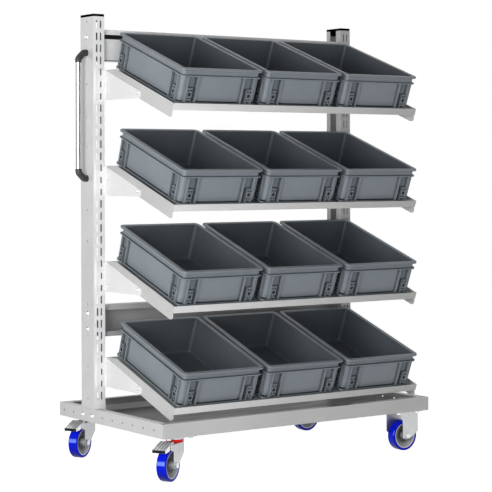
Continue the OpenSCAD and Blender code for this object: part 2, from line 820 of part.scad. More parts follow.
// Outline of a fork's leg, as x from the swivel axis and z above the floor
module swivel_leg_outline() {
  ear = pivot_t + 12;
  ear_low = fork_top - 17;
  x0 = -leg_root;
  x1 = trail + leg_front;
  polygon([[x0, fork_top], [ear, fork_top], [ear, ear_low], [x1, ear_low - 5], [x1, axle_z],
           [trail, leg_low], [trail - 6, leg_low + 1.5], [trail - leg_waist, axle_z],
           [x0, axle_z + leg_shoulder]]);
  translate([trail, axle_z]) circle(r = leg_front);
}

module fork(sy) {
  bead_x = bead_w - leg_root;
  color("lightgray") placed() at_swivel(sy) {
    difference() {
      union() {
        for (side = [0, 1]) mirror([0, side, 0]) {
          translate([0, fork_half, 0]) rotate([90, 0, 0]) linear_extrude(fork_t) swivel_leg_outline();
          box([bead_x, fork_half, axle_z + 22], [bead_x + bead_w, fork_half + bead_h, fork_top]);
        }
        box([-leg_root, -fork_half, fork_top - fork_t], [trail + 3, fork_half, fork_top]);
        translate([0, 0, fork_top - fork_t])
          cylinder(h = plate_z - race_h - free_gap - fork_top + fork_t, d = ring_bore - 2);
      }
      translate([0, 0, fork_top - fork_t - eps]) cylinder(h = castor_h, d = kingpin_d + 2 * run_gap);
      translate([trail, fork_half + 2 * bead_h, axle_z]) rotate([90, 0, 0])
        cylinder(h = 2 * fork_half + 4 * bead_h, d = axle_d + 2 * bolt_gap);
    }
    // pin of the brake pedal
    translate([pivot_t, fork_half, pivot_z]) rotate([90, 0, 0]) cylinder(h = 2 * fork_half, d = pivot_d);
  }
}

// Axle: a bolt along Y with its head in front and its nut behind
module axle_bolt() {
  head = 6.5;
  rotate([90, 0, 0]) {
    translate([0, 0, -fork_half]) cylinder(h = 2 * fork_half, d = axle_d);
    translate([0, 0, fork_half]) cylinder(h = head, d = nut_d(axle_d), $fn = 6);
    translate([0, 0, -fork_half - head]) cylinder(h = head, d = nut_d(axle_d), $fn = 6);
  }
}

module axle(sy) {
  color("silver") placed() at_swivel(sy) translate([trail, 0, axle_z]) axle_bolt();
}

module wheel_hub() {
  rim_r_out = wheel_d / 2 - tyre_t - run_gap;
  rim_wall = 5;
  core_d = 26;
  web_half = 4;
  rim_half = wheel_w / 2 - 1;
  rib_n = 6;
  rotate([90, 0, 0]) difference() {
    union() {
      translate([0, 0, -hub_half]) cylinder(h = 2 * hub_half, d = core_d);
      translate([0, 0, -web_half]) cylinder(h = 2 * web_half, r = rim_r_out);
      difference() {
        translate([0, 0, -rim_half]) cylinder(h = 2 * rim_half, r = rim_r_out);
        translate([0, 0, -rim_half - eps]) cylinder(h = 2 * rim_half + 2 * eps, r = rim_r_out - rim_wall);
      }
      for (i = [0:rib_n - 1]) rotate([0, 0, i * 360 / rib_n])
        box([core_d / 2 - 2, -1.5, -rim_half + 3], [rim_r_out - rim_wall + 1, 1.5, rim_half - 3]);
    }
    translate([0, 0, -hub_half - eps]) cylinder(h = 2 * hub_half + 2 * eps, d = axle_d + 2 * run_gap);
  }
}

module wheel_tyre() {
  edge = 4;
  r_in = wheel_d / 2 - tyre_t;
  rotate([90, 0, 0]) rotate_extrude() {
    translate([r_in, -wheel_w / 2]) square([tyre_t - edge, wheel_w]);
    translate([r_in, -wheel_w / 2 + edge]) square([tyre_t, wheel_w - 2 * edge]);
    for (y = [-1, 1] * (wheel_w / 2 - edge)) translate([wheel_d / 2 - edge, y]) circle(r = edge);
  }
}

module hub(sy) {
  color("darkgray") placed() at_swivel(sy) translate([trail, 0, axle_z]) wheel_hub();
}

module tyre(sy) {
  color("blue") placed() at_swivel(sy) translate([trail, 0, axle_z]) wheel_tyre();
}

// Brake pedal: a sloping plate with two side walls on the fork's pin
module pedal(sy) {
  drop = tan(pedal_slope) * (pedal_tip_t - pedal_back_t);
  tip_z = pedal_top_z - drop;
  tip_low = tip_z - pedal_tip_h;
  pin_low = pivot_z - 6;
  past = 20;
  in = pedal_half - pedal_t;
  top_back = [pedal_back_t, pedal_top_z];
  top_tip = [pedal_tip_t, tip_z];
  color("silver") placed() at_swivel(sy) difference() {
    translate([0, pedal_half, 0]) rotate([90, 0, 0]) linear_extrude(2 * pedal_half)
      polygon([top_back, top_tip, [pedal_tip_t, tip_low], [pedal_tip_t - 22, tip_low + 2],
               [pivot_t + 8, pin_low - 1], [pedal_back_t, pin_low]]);
    // the space under the plate, between the side walls
    translate([-pedal_t, in, -pedal_t]) rotate([90, 0, 0]) linear_extrude(2 * in)
      polygon([top_back, top_tip, [pedal_tip_t, tip_low - past], [pedal_back_t - past, pin_low - past],
               [pedal_back_t - past, pedal_top_z]]);
    translate([pivot_t, pedal_half + eps, pivot_z]) rotate([90, 0, 0])
      cylinder(h = 2 * (pedal_half + eps), d = pivot_d + 2 * run_gap);
  }
}

// Fixed castors: their two legs are one pressing, turned half round. Past the crown a leg stays
// below the heads of the castor's bolts.
module fixed_leg_outline() {
  heel = 18;
  heel_top = axle_z + 2 * heel + 16;
  toe = 30;
  wing_z = plate_z - castor_head_h - free_gap;
  polygon([[-crown_half, plate_z], [crown_half, plate_z], [crown_half, wing_z], [leg_back, wing_z],
           [leg_back, axle_z + 14], [toe, axle_z], [heel - 1, leg_low + 3.5], [0, leg_low],
           [-heel, leg_low + 3], [-heel, heel_top]]);
}

module fixed_forks() {
  crown_t = 3;
  bead_x = crown_half - 18;
  color("lightgray") placed() for (sy = [-1, 1]) at_castor(1, sy) difference() {
    union() {
      for (turn = [0, 180]) rotate([0, 0, turn]) {
        translate([0, -fork_half + fork_t, 0]) rotate([90, 0, 0]) linear_extrude(fork_t) fixed_leg_outline();
        box([bead_x, -fork_half - bead_h, axle_z + 16], [bead_x + bead_w, -fork_half, plate_z]);
      }
      box([-crown_half, -fork_half, plate_z - crown_t], [crown_half, fork_half, plate_z]);
    }
    translate([0, fork_half + 2 * bead_h, axle_z]) rotate([90, 0, 0])
      cylinder(h = 2 * (fork_half + 2 * bead_h), d = axle_d + 2 * bolt_gap);
  }
}

module fixed_axles() {
  color("silver") placed() for (sy = [-1, 1]) at_castor(1, sy) translate([0, 0, axle_z]) axle_bolt();
}

module fixed_hub(sy) {
  color("darkgray") placed() at_castor(1, sy) translate([0, 0, axle_z]) wheel_hub();
}

module fixed_tyre(sy) {
  color("blue") placed() at_castor(1, sy) translate([0, 0, axle_z]) wheel_tyre();
}

base_front_rail();
base_back_rail();
base_left_end();
base_right_end();
castor_cross_plates();
deck_pan();
left_post();
right_post();
post_caps();
top_beam();
lower_beam();
frame_bolts();
handle_tube();
handle_ends();
handle_screws();
tray(1);  // tray_1
tray(2);  // tray_2
tray(3);  // tray_3
tray(4);  // tray_4
brackets(1);  // brackets_1
brackets(2);  // brackets_2
brackets(3);  // brackets_3
brackets(4);  // brackets_4
arms(1);  // arms_1
arms(2);  // arms_2
arms(3);  // arms_3
arms(4);  // arms_4
shelf_bolts();
bin(1, -1);  // bin_1_left
bin(1, 0);  // bin_1_middle
bin(1, 1);  // bin_1_right
bin(2, -1);  // bin_2_left
bin(2, 0);  // bin_2_middle
bin(2, 1);  // bin_2_right
bin(3, -1);  // bin_3_left
bin(3, 0);  // bin_3_middle
bin(3, 1);  // bin_3_right
bin(4, -1);  // bin_4_left
bin(4, 0);  // bin_4_middle
bin(4, 1);  // bin_4_right
castor_plates();
castor_bolts();
swivel_ring(-1);  // swivel_ring_front
swivel_ring(1);  // swivel_ring_back
fork(-1);  // fork_front
fork(1);  // fork_back
axle(-1);  // axle_front
axle(1);  // axle_back
hub(-1);  // hub_front
hub(1);  // hub_back
tyre(-1);  // tyre_front
tyre(1);  // tyre_back
pedal(-1);  // pedal_front
pedal(1);  // pedal_back
fixed_forks();
fixed_axles();
fixed_hub(-1);  // fixed_hub_front
fixed_hub(1);  // fixed_hub_back
fixed_tyre(-1);  // fixed_tyre_front
fixed_tyre(1);  // fixed_tyre_back
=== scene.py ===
"""Mobile bin cart: looks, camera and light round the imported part."""

import json
import math

import bmesh
import bpy
from mathutils import Matrix, Vector


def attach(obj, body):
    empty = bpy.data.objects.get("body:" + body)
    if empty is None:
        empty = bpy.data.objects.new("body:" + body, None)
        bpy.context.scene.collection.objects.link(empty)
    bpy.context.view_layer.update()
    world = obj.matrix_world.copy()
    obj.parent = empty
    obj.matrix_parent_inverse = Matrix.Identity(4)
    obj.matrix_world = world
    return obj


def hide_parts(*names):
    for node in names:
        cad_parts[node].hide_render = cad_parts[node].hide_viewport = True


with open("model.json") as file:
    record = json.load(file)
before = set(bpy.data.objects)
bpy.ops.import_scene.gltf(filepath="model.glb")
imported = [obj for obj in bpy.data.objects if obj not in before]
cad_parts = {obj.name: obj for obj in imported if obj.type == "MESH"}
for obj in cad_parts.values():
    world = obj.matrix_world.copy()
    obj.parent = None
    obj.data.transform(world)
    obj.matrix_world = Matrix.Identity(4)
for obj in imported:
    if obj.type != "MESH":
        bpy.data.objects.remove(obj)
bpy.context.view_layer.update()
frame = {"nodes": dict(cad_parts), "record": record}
NODES = frame["nodes"]
MM = 0.001

# Directions in the cart's frame
LEFT, RIGHT = (-1.0, 0.0, 0.0), (1.0, 0.0, 0.0)
FRONT, BACK = (0.0, -1.0, 0.0), (0.0, 1.0, 0.0)
DOWN, UP = (0.0, 0.0, -1.0), (0.0, 0.0, 1.0)

# Trays and bins, in mm, as in the part's source
TILT = math.radians(19.6)
TRAY_Y, TOP_TRAY_Z, SHELF_PITCH = -285.699, 1121.5615, 304.0
MID_X, BIN_PITCH = 17.5, 312.0
BIN_L, BIN_W, BIN_H = 400.0, 300.0, 120.0

# Wheels, in mm, as in the part's source
WHEEL_R, FIXED_X, SWIVEL_X = 50.0, 467.0, -432.0
WHEEL_Y = {"front": -253.05, "back": 276.95}
TRAIL, TRAIL_TURN = 44.0, math.radians(210)
HUB_R, CORE_R, BORE_R = 41.9, 13.0, 5.05
CORE_HALF, RIM_HALF = 22.7, 15.0

# The way that the swivel castors trail, and the way along their axles
TRAIL_WAY = (math.cos(TRAIL_TURN), math.sin(TRAIL_TURN), 0.0)
AXLE_WAY = (math.sin(TRAIL_TURN), -math.cos(TRAIL_TURN), 0.0)


class Look:
    """A material under construction: a Principled shader and short ways to add nodes to it."""

    def __init__(self, name, colour, rough, metal=0.0, **sockets):
        self.mat = bpy.data.materials.new(name)
        self.mat.use_nodes = True
        self.tree = self.mat.node_tree
        self.bsdf = self.tree.nodes["Principled BSDF"]
        self.set("Base Color", (*colour, 1.0))
        self.set("Roughness", rough)
        self.set("Metallic", metal)
        for key, value in sockets.items():
            self.set(key.replace("_", " "), value)
        source = self.node("ShaderNodeTexCoord")
        self.coord, self.way = source.outputs["Object"], source.outputs["Normal"]

    def set(self, socket, value):
        self.bsdf.inputs[socket].default_value = value

    def node(self, kind, **values):
        """Adds a node and sets its properties or, where it has none of that name, its inputs."""
        n = self.tree.nodes.new(kind)
        for key, value in values.items():
            if hasattr(n, key):
                setattr(n, key, value)
            else:
                n.inputs[key.replace("_", " ")].default_value = value
        return n

    def link(self, a, b):
        self.tree.links.new(a, b)

    def stretched(self, scale):
        m = self.node("ShaderNodeMapping", Scale=scale)
        self.link(self.coord, m.inputs["Vector"])
        return m.outputs["Vector"]

    def noise(self, scale, detail=3.0, rough=0.5, vector=None):
        n = self.node("ShaderNodeTexNoise", Scale=scale, Detail=detail, Roughness=rough)
        self.link(vector or self.coord, n.inputs["Vector"])
        return n.outputs["Fac"]

    def ramp(self, fac, stops):
        """Greys between stops of (place, brightness)."""
        r = self.node("ShaderNodeValToRGB")
        self.link(fac, r.inputs["Fac"])
        marks = r.color_ramp.elements
        while len(marks) < len(stops):
            marks.new(0.5)
        for mark, (place, grey) in zip(marks, stops):
            mark.position = place
            mark.color = (grey, grey, grey, 1.0)
        return r.outputs["Color"]

    def span(self, fac, a, b, lo=0.0, hi=1.0, clamp=True):
        """Maps a to lo and b to hi, in a straight line."""
        m = self.node("ShaderNodeMapRange", clamp=clamp)
        self.link(fac, m.inputs["Value"])
        for key, value in (("From Min", a), ("From Max", b), ("To Min", lo), ("To Max", hi)):
            m.inputs[key].default_value = value
        return m.outputs["Result"]

    def along(self, vector, direction):
        """How far a vector reaches in a direction."""
        d = self.node("ShaderNodeVectorMath", operation="DOT_PRODUCT")
        self.link(vector, d.inputs[0])
        d.inputs[1].default_value = direction
        return d.outputs["Value"]

    def past(self, direction, a, b, lo=0.0, hi=1.0):
        """Goes from lo to hi between two distances along the direction, in metres in the object's frame."""
        return self.span(self.along(self.coord, direction), a, b, lo, hi)

    def faces(self, direction, a=0.6, b=0.8):
        """Goes from 0 to 1 as the surface turns to face the direction."""
        return self.span(self.along(self.way, direction), a, b)

    def both(self, a, b):
        m = self.node("ShaderNodeMath", operation="MULTIPLY")
        self.link(a, m.inputs[0])
        self.link(b, m.inputs[1])
        return m.outputs[0]

    def mix(self, fac, a, b):
        m = self.node("ShaderNodeMix", data_type="RGBA")
        for i, value in ((0, fac), (6, a), (7, b)):
            socket = m.inputs[i]
            if isinstance(value, tuple):
                socket.default_value = (*value, 1.0)
            elif isinstance(value, float):
                socket.default_value = value
            else:
                self.link(value, socket)
        return m.outputs[2]

    def bump(self, *layers):
        """Layers are (height, strength, distance in mm), laid one over the other."""
        last = None
        for height, strength, distance in layers:
            b = self.node("ShaderNodeBump", Strength=strength, Distance=distance * MM)
            self.link(height, b.inputs["Height"])
            if last:
                self.link(last, b.inputs["Normal"])
            last = b.outputs["Normal"]
        self.link(last, self.bsdf.inputs["Normal"])

    def colour(self, out):
        self.link(out, self.bsdf.inputs["Base Color"])

    def rough(self, out):
        self.link(out, self.bsdf.inputs["Roughness"])


def tint(colour, k):
    return tuple(min(1.0, c * k) for c in colour)


def least(name, axis):
    """The lowest coordinate of a CAD node along an axis, in metres."""
    return min(v.co[axis] for v in NODES[name].data.vertices)


def painted(name, colour, rough, coat=0.15, front=1.0, fade=1.0, lip=None):
    """Powder coat: fine orange peel, faint cloudy tone, handling marks. Front faces may carry painted
    light, fading to the right, and a lip's top, past the line at y = lip, may carry painted shade as dark
    as the deck."""
    m = Look(name, colour, rough, Coat_Weight=coat, Coat_Roughness=0.12)
    cloud = m.noise(5.0, 4.0)
    marks = m.noise(42.0, 6.0, 0.7)
    streak = m.noise(9.0, 5.0, 0.65, m.stretched((16.0, 16.0, 1.0)))
    tone = m.mix(m.span(cloud, 0.35, 0.65), tint(colour, 0.94), tint(colour, 1.03))
    tone = m.mix(m.span(marks, 0.64, 0.74, 0.0, 0.14), tone, tint(colour, 0.80))
    # Painted light: front faces made lighter, less so towards the right
    if front != 1.0:
        painted_front_light = m.mix(m.past(RIGHT, -0.45, 0.40), tint(colour, front), tint(colour, front * fade))
        tone = m.mix(m.faces(FRONT), tone, painted_front_light)
    # Painted shade on a lip's top, darker towards the left
    if lip is not None:
        left_top_shade, right_top_shade = (0.034, 0.034, 0.036), (0.14, 0.14, 0.14)
        wear_and_painted_shade = m.mix(m.past(RIGHT, -0.1, 0.45), left_top_shade, right_top_shade)
        tone = m.mix(m.both(m.faces(UP), m.past(BACK, lip, lip + 0.002)), tone, wear_and_painted_shade)
    m.colour(tone)
    m.rough(m.span(streak, 0.3, 0.7, rough - 0.05, rough + 0.09))
    m.bump((m.noise(420.0, 2.0), 0.10, 0.4), (marks, 0.04, 0.3))
    return m.mat


def beam_look(name, colour, rough, face_y, hem_z):
    """Painted beam: painted shade on its inside faces, past its front face, and a painted shadow on its hem
    underneath.
    """
    m = Look(name, colour, rough, Coat_Weight=0.15, Coat_Roughness=0.12)
    cloud = m.noise(5.0, 4.0)
    # Greys of the painted shade inside and of the painted shadow on the hem
    shade_grey, shadow = (0.06, 0.06, 0.062), (0.08, 0.08, 0.082)
    ahead = m.faces(FRONT)
    inside = m.past(BACK, face_y + 0.003, face_y + 0.004)
    hem = m.past(UP, hem_z + 0.0035, hem_z + 0.002)
    tone = m.mix(m.span(cloud, 0.35, 0.65), tint(colour, 0.94), tint(colour, 1.03))
    tone = m.mix(m.both(ahead, inside), tone, shade_grey)
    m.colour(m.mix(m.both(ahead, hem), tone, shadow))
    m.rough(m.span(cloud, 0.3, 0.7, rough - 0.05, rough + 0.09))
    m.bump((m.noise(420.0, 2.0), 0.10, 0.4))
    return m.mat


def bolt_look(name, bright, dark, rough):
    """Zinc bolt: a painted highlight on its end and its front side, and painted shade round the rest of its
    head.
    """
    m = Look(name, dark, rough, 1.0)
    wear_and_painted_shade = m.noise(300.0, 3.0, 0.6)
    sideways = m.node("ShaderNodeMath", operation="ABSOLUTE")
    m.link(m.along(m.way, RIGHT), sideways.inputs[0])
    # Painted shade on the sides of the head that face away from the front
    shaded_head_side = m.both(m.span(sideways.outputs[0], 0.92, 0.80), m.faces(BACK, -0.62, -0.35))
    m.colour(m.mix(shaded_head_side, bright, dark))
    m.rough(m.span(wear_and_painted_shade, 0.3, 0.7, rough - 0.05, rough + 0.12))
    m.bump((wear_and_painted_shade, 0.08, 0.2))
    return m.mat


def pedal_look(name, colour, rough):
    """Pressed pedal: grooves run from its pivot to its tip, with painted shade in them on its top, and the
    tip's face is a black rubber edge.
    """
    m = Look(name, colour, rough, 0.85, Specular_IOR_Level=0.1)
    patch = m.noise(26.0, 4.0, 0.6)
    radians_per_mm = 0.60
    wave = m.node("ShaderNodeMath", operation="SINE")
    across = m.along(m.coord, AXLE_WAY)
    m.link(m.span(across, 0.0, MM, 0.0, radians_per_mm, clamp=False), wave.inputs[0])
    groove = m.both(m.span(wave.outputs[0], 0.1, 0.9), m.faces(UP, 0.5, 0.8))
    tip = m.faces(TRAIL_WAY, 0.80, 0.9)
    tone = m.mix(m.span(patch, 0.35, 0.68), tint(colour, 0.86), colour)
    # Painted shade in the grooves on the pedal's top
    tone = m.mix(groove, tone, tint(colour, 0.42))
    m.colour(m.mix(tip, tone, (0.012, 0.012, 0.014)))
    m.link(m.span(tip, 0.0, 1.0, 0.85, 0.0), m.bsdf.inputs["Metallic"])
    m.rough(m.span(patch, 0.3, 0.7, rough - 0.06, rough + 0.10))
    m.bump((groove, 0.5, 0.8), (m.noise(520.0, 2.0), 0.12, 0.3))
    return m.mat


def zinc_plate(name, colour, rough):
    """Bright zinc: metal with a soft crystal mottle, drawn streaks and slightly duller patches."""
    m = Look(name, colour, rough, 1.0)
    cell = m.node("ShaderNodeTexVoronoi", Scale=160.0)
    m.link(m.coord, cell.inputs["Vector"])
    patch = m.noise(14.0, 4.0, 0.6)
    drawn = m.noise(30.0, 4.0, 0.6, m.stretched((1.0, 1.0, 14.0)))
    tone = m.mix(m.span(patch, 0.35, 0.68), tint(colour, 0.86), colour)
    tone = m.mix(m.span(cell.outputs["Distance"], 0.1, 0.6, 0.0, 0.22), tone, tint(colour, 0.8))
    m.colour(tone)
    m.rough(m.span(drawn, 0.3, 0.7, rough - 0.07, rough + 0.12))
    m.bump((m.noise(520.0, 2.0), 0.12, 0.3), (drawn, 0.05, 0.2))
    return m.mat


def moulded(name, colour, rough, grain, grain_scale=900.0, shade=0.88, sheen=0.5, foot=None):
    """Moulded plastic: fine spark-eroded grain, faint flow marks and rubbed, shinier patches. A bin's shell
    also has painted shade in its nooks and below the height of its foot, lighter on its left side, where
    the light falls."""
    m = Look(name, colour, rough, Specular_IOR_Level=sheen)
    flow = m.noise(7.0, 4.0, 0.55)
    rub = m.noise(26.0, 5.0, 0.65)
    scuff = m.noise(60.0, 6.0, 0.7, m.stretched((1.0, 5.0, 5.0)))
    tone = m.mix(m.span(flow, 0.3, 0.7), tint(colour, shade), tint(colour, 1.06))
    tone = m.mix(m.span(scuff, 0.64, 0.74, 0.0, 0.30), tone, tint(colour, 1.35))
    # Painted shade from ambient occlusion in the nooks and below the foot, lighter on the left side
    if foot is not None:
        shelter = m.node("ShaderNodeAmbientOcclusion", samples=6, Distance=0.020)
        side = m.faces(LEFT)
        nook_shade = m.mix(side, tint(colour, 0.30), tint(colour, 0.66))
        low_shade = m.mix(side, tint(colour, 0.55), tint(colour, 0.91))
        tone = m.mix(m.span(shelter.outputs["AO"], 0.15, 0.62), nook_shade, tone)
        tone = m.mix(m.past(UP, 0.006, foot), low_shade, tone)
    m.colour(tone)
    m.rough(m.span(rub, 0.3, 0.7, rough - 0.08, rough + 0.08))
    m.bump((m.noise(grain_scale, 2.0), grain, 0.25), (scuff, 0.05, 0.2))
    return m.mat


def hub_look(name, colour, rough):
    """Turned hub plastic: a painted highlight on the rim, and painted shade in the dish towards the core
    and where the dish faces down.
    """
    m = Look(name, colour, rough, Specular_IOR_Level=0.3)
    flat = m.node("ShaderNodeVectorMath", operation="MULTIPLY")
    m.link(m.coord, flat.inputs[0])
    flat.inputs[1].default_value = (1.0, 0.0, 1.0)
    size = m.node("ShaderNodeVectorMath", operation="LENGTH")
    m.link(flat.outputs[0], size.inputs[0])
    radius = size.outputs["Value"]
    grime = m.noise(70.0, 5.0, 0.7)
    down = m.along(m.node("ShaderNodeNewGeometry").outputs["Normal"], DOWN)
    outside_core = m.span(radius, (CORE_R - 0.2) * MM, (CORE_R + 0.4) * MM)
    dish = m.both(m.span(radius, (HUB_R - 5.9) * MM, (CORE_R + 7.0) * MM), outside_core)
    rim = m.span(radius, (HUB_R - 4.7) * MM, (HUB_R - 3.9) * MM)
    tone = m.mix(m.span(grime, 0.35, 0.7), tint(colour, 0.85), tint(colour, 1.05))
    # Painted shade in the dish and where it faces down, then a painted highlight on the rim
    tone = m.mix(dish, tone, tint(colour, 0.12))
    tone = m.mix(m.both(m.span(down, 0.05, 0.4), outside_core), tone, tint(colour, 0.16))
    m.colour(m.mix(rim, tone, tint(colour, 1.7)))
    m.rough(m.span(grime, 0.3, 0.7, rough - 0.06, rough + 0.10))
    m.bump((m.noise(500.0, 2.0), 0.2, 0.25), (grime, 0.08, 0.3))
    return m.mat


def drawn_metal(name, colour, rough):
    """Anodised tube with a painted reflection round it: bright, dark and duller bands by which way the
    surface faces.
    """
    m = Look(name, colour, rough, 1.0)
    lines = m.noise(600.0, 3.0, 0.6, m.stretched((1.0, 1.0, 0.02)))
    # Painted reflection: greys by which way round the tube the surface faces
    round_the_tube = m.faces((0.816, -0.578, 0.0), -1.0, 1.0)
    painted_reflection_bands = ((0.0, 0.20), (0.24, 0.34), (0.30, 0.98), (0.55, 0.98),
              (0.60, 0.08), (0.74, 0.10), (0.80, 0.62), (1.0, 0.70))
    m.colour(m.ramp(round_the_tube, painted_reflection_bands))
    m.rough(m.span(lines, 0.3, 0.7, rough - 0.05, rough + 0.08))
    m.bump((lines, 0.03, 0.1))
    return m.mat


def deck_sheet(name, colour, rough):
    """Grey sheet deck: rolled streaks, dull rubbed places and dust. Painted shade darkens its floor, most
    at the front; painted light lifts the floor towards the back and on a patch to the right, and lifts its
    back wall.
    Painted shade darkens the outside of its left wall."""
    m = Look(name, colour, rough, Specular_IOR_Level=0.12)
    streak = m.noise(5.0, 6.0, 0.65, m.stretched((1.0, 14.0, 1.0)))
    fine = m.noise(16.0, 5.0, 0.7, m.stretched((0.6, 18.0, 1.0)))
    cloud = m.noise(6.0, 5.0, 0.6)
    dust = m.noise(90.0, 6.0, 0.75)
    black, shade_grey = (0.0, 0.0, 0.0), (0.01, 0.01, 0.01)
    tone = m.mix(m.span(cloud, 0.3, 0.7), tint(colour, 0.88), tint(colour, 1.10))
    tone = m.mix(m.span(fine, 0.42, 0.62, 0.0, 0.45), tone, tint(colour, 0.62))
    tone = m.mix(m.span(dust, 0.58, 0.75, 0.0, 0.22), tone, tint(colour, 1.6))
    # Painted shade on the floor, most at the front; painted light lifts it towards the back and to the
    # right
    wear_and_painted_shade = m.mix(0.72, tone, black)
    wear_and_painted_shade = m.mix(m.past(FRONT, -0.14, 0.03), wear_and_painted_shade, m.mix(0.5, wear_and_painted_shade, black))
    floor = m.mix(m.past(BACK, 0.06, 0.22, 0.0, 0.45), wear_and_painted_shade, tone)
    floor = m.mix(m.past(RIGHT, 0.30, 0.38), floor, tone)
    # Painted light on the back wall, and painted shade on the outside of the left wall
    wall = m.mix(m.faces(FRONT), tone, tint(colour, 1.95))
    wall = m.mix(m.both(m.faces(LEFT), m.past(LEFT, 0.3, 0.4)), wall, shade_grey)
    m.colour(m.mix(m.faces(UP), wall, floor))
    m.rough(m.span(streak, 0.3, 0.7, rough - 0.10, rough + 0.12))
    m.bump((m.noise(600.0, 2.0), 0.18, 0.3), (streak, 0.06, 0.3))
    return m.mat


def rubber(name, colour, painted_highlight_colour, rough):
    """Elastic tyre: clean glossy rubber with a fine grain, with painted shade underneath and a painted
    highlight band on the tread.
    """
    m = Look(name, colour, rough, Specular_IOR_Level=0.10)
    rub = m.noise(55.0, 5.0, 0.65)
    upright = m.node("ShaderNodeNewGeometry").outputs["Normal"]
    height = m.along(upright, UP)
    tone = m.mix(m.span(rub, 0.35, 0.7), tint(colour, 0.88), tint(colour, 1.04))
    # Painted shade underneath, then a painted highlight band on the tread
    tone = m.mix(m.span(height, -0.85, -0.15), tint(colour, 0.22), tone)
    sheen = m.both(m.span(height, 0.06, 0.12), m.span(height, 0.36, 0.28))
    sheen = m.both(sheen, m.span(m.along(upright, TRAIL_WAY), 0.89, 0.95))
    m.colour(m.mix(sheen, tone, painted_highlight_colour))
    m.rough(m.span(rub, 0.3, 0.7, rough - 0.06, rough + 0.10))
    m.bump((m.noise(1100.0, 2.0), 0.15, 0.2))
    return m.mat


POST = painted("post_paint", (0.60, 0.60, 0.602), 0.34)
# The left post: a lighter copy of the post paint, with painted light on its front faces
LEFT_POST = painted("left_post_paint", (0.64, 0.64, 0.642), 0.34, front=1.44)
# The top beam's near-white colour is painted light
TOP_BEAM = beam_look("top_beam_paint", (0.93, 0.93, 0.93), 0.34, least("top_beam", 1), least("top_beam", 2))
# The lower beam's darker grey is painted shade
LOW_BEAM = painted("low_beam_paint", (0.46, 0.46, 0.463), 0.38, coat=0.1)
BASE = painted("base_paint", (0.60, 0.603, 0.60), 0.36)
LIP_Y = least("base_front_rail", 1) + 2.5 * MM
# The front rail's lip top carries painted shade
FRONT_RAIL = painted("front_rail_paint", (0.60, 0.603, 0.60), 0.36, lip=LIP_Y)
# Painted light on the trays' front faces, fading to the right
TRAY = painted("tray_paint", (0.55, 0.55, 0.547), 0.30, coat=0.2, front=1.48, fade=0.66)
BRACKET = painted("bracket_paint", (0.86, 0.86, 0.86), 0.34)
DECK = deck_sheet("deck_paint", (0.46, 0.46, 0.465), 0.38)
ZINC = zinc_plate("zinc", (0.80, 0.81, 0.83), 0.30)
BOLT = bolt_look("bolt_zinc", (0.92, 0.92, 0.92), (0.06, 0.06, 0.065), 0.28)
FORK = zinc_plate("fork_zinc", (0.60, 0.605, 0.615), 0.34)
PEDAL = pedal_look("pedal_zinc", (0.93, 0.93, 0.935), 0.30)
TUBE = drawn_metal("tube_metal", (0.9, 0.9, 0.9), 0.20)
BLACK = moulded("black_plastic", (0.022, 0.022, 0.024), 0.42, 0.3)
CAP = moulded("cap_plastic", (0.002, 0.002, 0.002), 0.7, 0.3, sheen=0.0)
BIN = moulded("bin_plastic", (0.222, 0.253, 0.279), 0.42, 0.22, foot=0.036)
# Darker copies of the bin plastic are painted shade: on the swells, the pads, the pads' holes, the channels
# and ledge, and the inside
BIN_SWELL_SHADE = moulded("bin_swell_shade", (0.125, 0.145, 0.164), 0.45, 0.22)
BIN_PAD_SHADE = moulded("bin_pad_shade", (0.150, 0.174, 0.195), 0.45, 0.3)
BIN_PIT_SHADE = moulded("bin_recess_shade", (0.020, 0.024, 0.030), 0.6, 0.2)
BIN_CHANNEL_SHADE = moulded("bin_channel_shade", (0.060, 0.072, 0.084), 0.5, 0.2)
BIN_INSIDE_SHADE = moulded("bin_inside_shade", (0.085, 0.099, 0.112), 0.5, 0.22)
HUB = hub_look("hub_plastic", (0.46, 0.465, 0.47), 0.42)
RING = moulded("ring_plastic", (0.95, 0.003, 0.003), 0.34, 0.12, 700.0, 0.9, sheen=0.2)
TYRE = rubber("tyre_rubber", (0.0, 0.010, 0.70), (0.16, 0.27, 1.0), 0.22)

# The look of each of the record's material slots, and of the nodes that differ from their slot
LOOK_OF_SLOT = {
    "base_steel": BASE, "post_steel": POST, "tray_steel": TRAY, "deck_steel": DECK, "zinc": ZINC,
    "handle_metal": TUBE, "black_plastic": BLACK, "bin_plastic": BIN, "hub_plastic": HUB,
    "ring_plastic": RING, "tyre_blue": TYRE,
}
LOOK_OF_NODE = {
    "left_post": LEFT_POST, "top_beam": TOP_BEAM, "lower_beam": LOW_BEAM, "post_caps": CAP,
    "base_front_rail": FRONT_RAIL, "brackets": BRACKET, "fork": FORK, "fixed_forks": FORK,
    "castor_plates": FORK, "pedal": PEDAL, "frame_bolts": BOLT, "shelf_bolts": BOLT, "handle_screws": BOLT,
}

# Width of the rounded edges in mm, by how a node's name starts
EDGE = {
    "base": 1.0, "castor_cross": 0.4, "deck": 0.9, "left": 0.7, "right": 0.7, "post": 1.6, "top": 0.9,
    "lower": 0.9, "frame": 0.5, "handle": 0.6, "tray": 0.6, "brackets": 0.5, "arms": 0.6, "shelf": 0.4,
    "castor": 0.6, "swivel": 0.6, "fork": 0.8, "axle": 0.5, "hub": 0.8, "tyre": 0.0, "pedal": 0.7,
    "fixed": 0.7,
}


def by_start(table, name, other=None):
    """The table's first value whose key starts the name."""
    return next((value for key, value in table.items() if name.startswith(key)), other)


